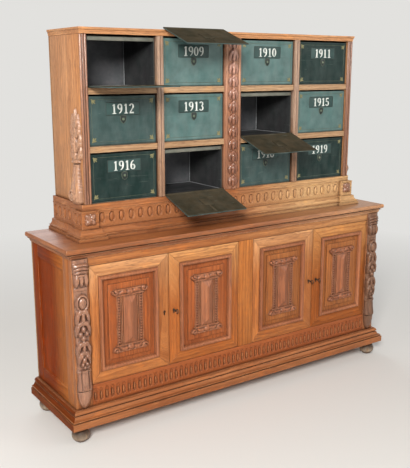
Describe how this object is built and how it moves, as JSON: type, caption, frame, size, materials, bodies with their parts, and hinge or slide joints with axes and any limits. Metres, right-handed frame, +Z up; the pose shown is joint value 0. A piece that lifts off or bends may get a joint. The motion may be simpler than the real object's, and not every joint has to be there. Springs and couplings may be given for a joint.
{
  "type": "notary cabinet",
  "caption": "Carved oak notary cabinet: low cupboard base with panelled doors on bun feet, under an open rack of sliding tin deed boxes with drop fronts.",
  "frame": {"origin": "on the floor, under the middle of the whole object with its level box front", "axes": "+X to the right as seen from the front, +Y to the back, +Z up"},
  "size_m": [2, 0.5408, 1.8605],
  "materials": {
    "oak_light": "waxed oak",
    "oak_warm": "waxed oak",
    "oak_carved": "waxed oak",
    "oak_worn": "waxed oak",
    "green_tin": "semi-gloss paint",
    "iron": "dark, handled"
  },
  "bodies": {
    "cabinet": {"base_top": "oak_warm", "base_plinth": "oak_warm", "foot_front_left": "oak_worn", "foot_front_right": "oak_worn", "foot_back_left": "oak_worn", "foot_back_right": "oak_worn", "base_floor": "oak_warm", "base_left_side": "oak_warm", "base_right_side": "oak_warm", "base_back": "oak_warm", "base_face_frame": "oak_light", "left_pilaster": "oak_carved", "right_pilaster": "oak_carved", "rack_plinth": "oak_light", "rack_floor": "oak_light", "rack_left_side": "oak_light", "rack_right_side": "oak_light", "rack_back": "oak_warm", "rack_top": "oak_light", "rack_partition_left": "oak_light", "rack_partition_centre": "oak_light", "rack_partition_right": "oak_light", "rack_shelf_lower": "oak_light", "rack_shelf_upper": "oak_light"},
    "door_1": {"door_frame_1": "oak_light", "door_panel_1": "oak_warm"},
    "door_2": {"door_frame_2": "oak_light", "door_panel_2": "oak_warm"},
    "key_2": {"key_2": "iron"},
    "door_3": {"door_frame_3": "oak_light", "door_panel_3": "oak_warm"},
    "key_3": {"key_3": "iron"},
    "door_4": {"door_frame_4": "oak_light", "door_panel_4": "oak_warm"},
    "key_4": {"key_4": "iron"},
    "box_r1c1": {"box_r1c1": "green_tin"},
    "flap_r1c1": {"flap_r1c1": "green_tin"},
    "box_r1c2": {"box_r1c2": "green_tin"},
    "flap_r1c2": {"flap_r1c2": "green_tin"},
    "box_r1c3": {"box_r1c3": "green_tin"},
    "flap_r1c3": {"flap_r1c3": "green_tin"},
    "box_r1c4": {"box_r1c4": "green_tin"},
    "flap_r1c4": {"flap_r1c4": "green_tin"},
    "box_r2c1": {"box_r2c1": "green_tin"},
    "flap_r2c1": {"flap_r2c1": "green_tin"},
    "box_r2c2": {"box_r2c2": "green_tin"},
    "flap_r2c2": {"flap_r2c2": "green_tin"},
    "box_r2c3": {"box_r2c3": "green_tin"},
    "flap_r2c3": {"flap_r2c3": "green_tin"},
    "box_r2c4": {"box_r2c4": "green_tin"},
    "flap_r2c4": {"flap_r2c4": "green_tin"},
    "box_r3c1": {"box_r3c1": "green_tin"},
    "flap_r3c1": {"flap_r3c1": "green_tin"},
    "box_r3c2": {"box_r3c2": "green_tin"},
    "flap_r3c2": {"flap_r3c2": "green_tin"},
    "box_r3c3": {"box_r3c3": "green_tin"},
    "flap_r3c3": {"flap_r3c3": "green_tin"},
    "box_r3c4": {"box_r3c4": "green_tin"},
    "flap_r3c4": {"flap_r3c4": "green_tin"},
    "top_flap": {"top_flap": "green_tin"}
  },
  "joints": [
    {"name": "door_1_hinge", "type": "hinge", "parent": "cabinet", "child": "door_1", "pos_m": [-0.8772, -0.18462, 0.2638], "axis": [0, 0, -1], "range_deg": [0, 90]},
    {"name": "door_2_hinge", "type": "hinge", "parent": "cabinet", "child": "door_2", "pos_m": [-0.0473, -0.18462, 0.2638], "axis": [0, 0, 1], "range_deg": [0, 90]},
    {"name": "key_2_turn", "type": "hinge", "parent": "door_2", "child": "key_2", "pos_m": [-0.43585, -0.18462, 0.54], "axis": [0, 1, 0], "range_deg": [0, 90]},
    {"name": "door_3_hinge", "type": "hinge", "parent": "cabinet", "child": "door_3", "pos_m": [0.0473, -0.18462, 0.2638], "axis": [0, 0, -1], "range_deg": [0, 90]},
    {"name": "key_3_turn", "type": "hinge", "parent": "door_3", "child": "key_3", "pos_m": [0.43585, -0.18462, 0.54], "axis": [0, 1, 0], "range_deg": [0, 90]},
    {"name": "door_4_hinge", "type": "hinge", "parent": "cabinet", "child": "door_4", "pos_m": [0.8772, -0.18462, 0.2638], "axis": [0, 0, 1], "range_deg": [0, 90]},
    {"name": "key_4_turn", "type": "hinge", "parent": "door_4", "child": "key_4", "pos_m": [0.48865, -0.18462, 0.54], "axis": [0, 1, 0], "range_deg": [0, 90]},
    {"name": "box_r1c1_slide", "type": "slide", "parent": "cabinet", "child": "box_r1c1", "axis": [0, -1, 0], "range_m": [0, 0.18]},
    {"name": "flap_r1c1_hinge", "type": "hinge", "parent": "box_r1c1", "child": "flap_r1c1", "pos_m": [-0.6135, -0.05162, 1.59323], "axis": [1, 0, 0], "range_deg": [-90, 20]},
    {"name": "box_r1c2_slide", "type": "slide", "parent": "cabinet", "child": "box_r1c2", "axis": [0, -1, 0], "range_m": [0, 0.09]},
    {"name": "flap_r1c2_hinge", "type": "hinge", "parent": "box_r1c2", "child": "flap_r1c2", "pos_m": [-0.2265, -0.05162, 1.59323], "axis": [1, 0, 0], "range_deg": [0, 110]},
    {"name": "box_r1c3_slide", "type": "slide", "parent": "cabinet", "child": "box_r1c3", "axis": [0, -1, 0], "range_m": [0, 0.18]},
    {"name": "flap_r1c3_hinge", "type": "hinge", "parent": "box_r1c3", "child": "flap_r1c3", "pos_m": [0.2265, -0.05162, 1.59323], "axis": [1, 0, 0], "range_deg": [0, 110]},
    {"name": "box_r1c4_slide", "type": "slide", "parent": "cabinet", "child": "box_r1c4", "axis": [0, -1, 0], "range_m": [0, 0.18]},
    {"name": "flap_r1c4_hinge", "type": "hinge", "parent": "box_r1c4", "child": "flap_r1c4", "pos_m": [0.6135, -0.05162, 1.59323], "axis": [1, 0, 0], "range_deg": [0, 110]},
    {"name": "box_r2c1_slide", "type": "slide", "parent": "cabinet", "child": "box_r2c1", "axis": [0, -1, 0], "range_m": [0, 0.18]},
    {"name": "flap_r2c1_hinge", "type": "hinge", "parent": "box_r2c1", "child": "flap_r2c1", "pos_m": [-0.6135, -0.05162, 1.33523], "axis": [1, 0, 0], "range_deg": [0, 110]},
    {"name": "box_r2c2_slide", "type": "slide", "parent": "cabinet", "child": "box_r2c2", "axis": [0, -1, 0], "range_m": [0, 0.18]},
    {"name": "flap_r2c2_hinge", "type": "hinge", "parent": "box_r2c2", "child": "flap_r2c2", "pos_m": [-0.2265, -0.05162, 1.33523], "axis": [1, 0, 0], "range_deg": [0, 110]},
    {"name": "box_r2c3_slide", "type": "slide", "parent": "cabinet", "child": "box_r2c3", "axis": [0, -1, 0], "range_m": [0, 0.18]},
    {"name": "flap_r2c3_hinge", "type": "hinge", "parent": "box_r2c3", "child": "flap_r2c3", "pos_m": [0.2265, -0.05162, 1.33523], "axis": [1, 0, 0], "range_deg": [-110, 0]},
    {"name": "box_r2c4_slide", "type": "slide", "parent": "cabinet", "child": "box_r2c4", "axis": [0, -1, 0], "range_m": [0, 0.18]},
    {"name": "flap_r2c4_hinge", "type": "hinge", "parent": "box_r2c4", "child": "flap_r2c4", "pos_m": [0.6135, -0.05162, 1.33523], "axis": [1, 0, 0], "range_deg": [0, 110]},
    {"name": "box_r3c1_slide", "type": "slide", "parent": "cabinet", "child": "box_r3c1", "axis": [0, -1, 0], "range_m": [0, 0.18]},
    {"name": "flap_r3c1_hinge", "type": "hinge", "parent": "box_r3c1", "child": "flap_r3c1", "pos_m": [-0.6135, -0.05162, 1.07723], "axis": [1, 0, 0], "range_deg": [0, 110]},
    {"name": "box_r3c2_slide", "type": "slide", "parent": "cabinet", "child": "box_r3c2", "axis": [0, -1, 0], "range_m": [0, 0.18]},
    {"name": "flap_r3c2_hinge", "type": "hinge", "parent": "box_r3c2", "child": "flap_r3c2", "pos_m": [-0.2265, -0.05162, 1.07723], "axis": [1, 0, 0], "range_deg": [-110, 0]},
    {"name": "box_r3c3_slide", "type": "slide", "parent": "cabinet", "child": "box_r3c3", "axis": [0, -1, 0], "range_m": [0, 0.09]},
    {"name": "flap_r3c3_hinge", "type": "hinge", "parent": "box_r3c3", "child": "flap_r3c3", "pos_m": [0.2265, -0.05162, 1.07723], "axis": [1, 0, 0], "range_deg": [0, 110]},
    {"name": "box_r3c4_slide", "type": "slide", "parent": "cabinet", "child": "box_r3c4", "axis": [0, -1, 0], "range_m": [0, 0.18]},
    {"name": "flap_r3c4_hinge", "type": "hinge", "parent": "box_r3c4", "child": "flap_r3c4", "pos_m": [0.6135, -0.05162, 1.07723], "axis": [1, 0, 0], "range_deg": [0, 110]},
    {"name": "top_flap_hinge", "type": "hinge", "parent": "cabinet", "child": "top_flap", "pos_m": [-0.2265, -0.05162, 1.85487], "axis": [1, 0, 0], "range_deg": [-110, 0]}
  ]
}
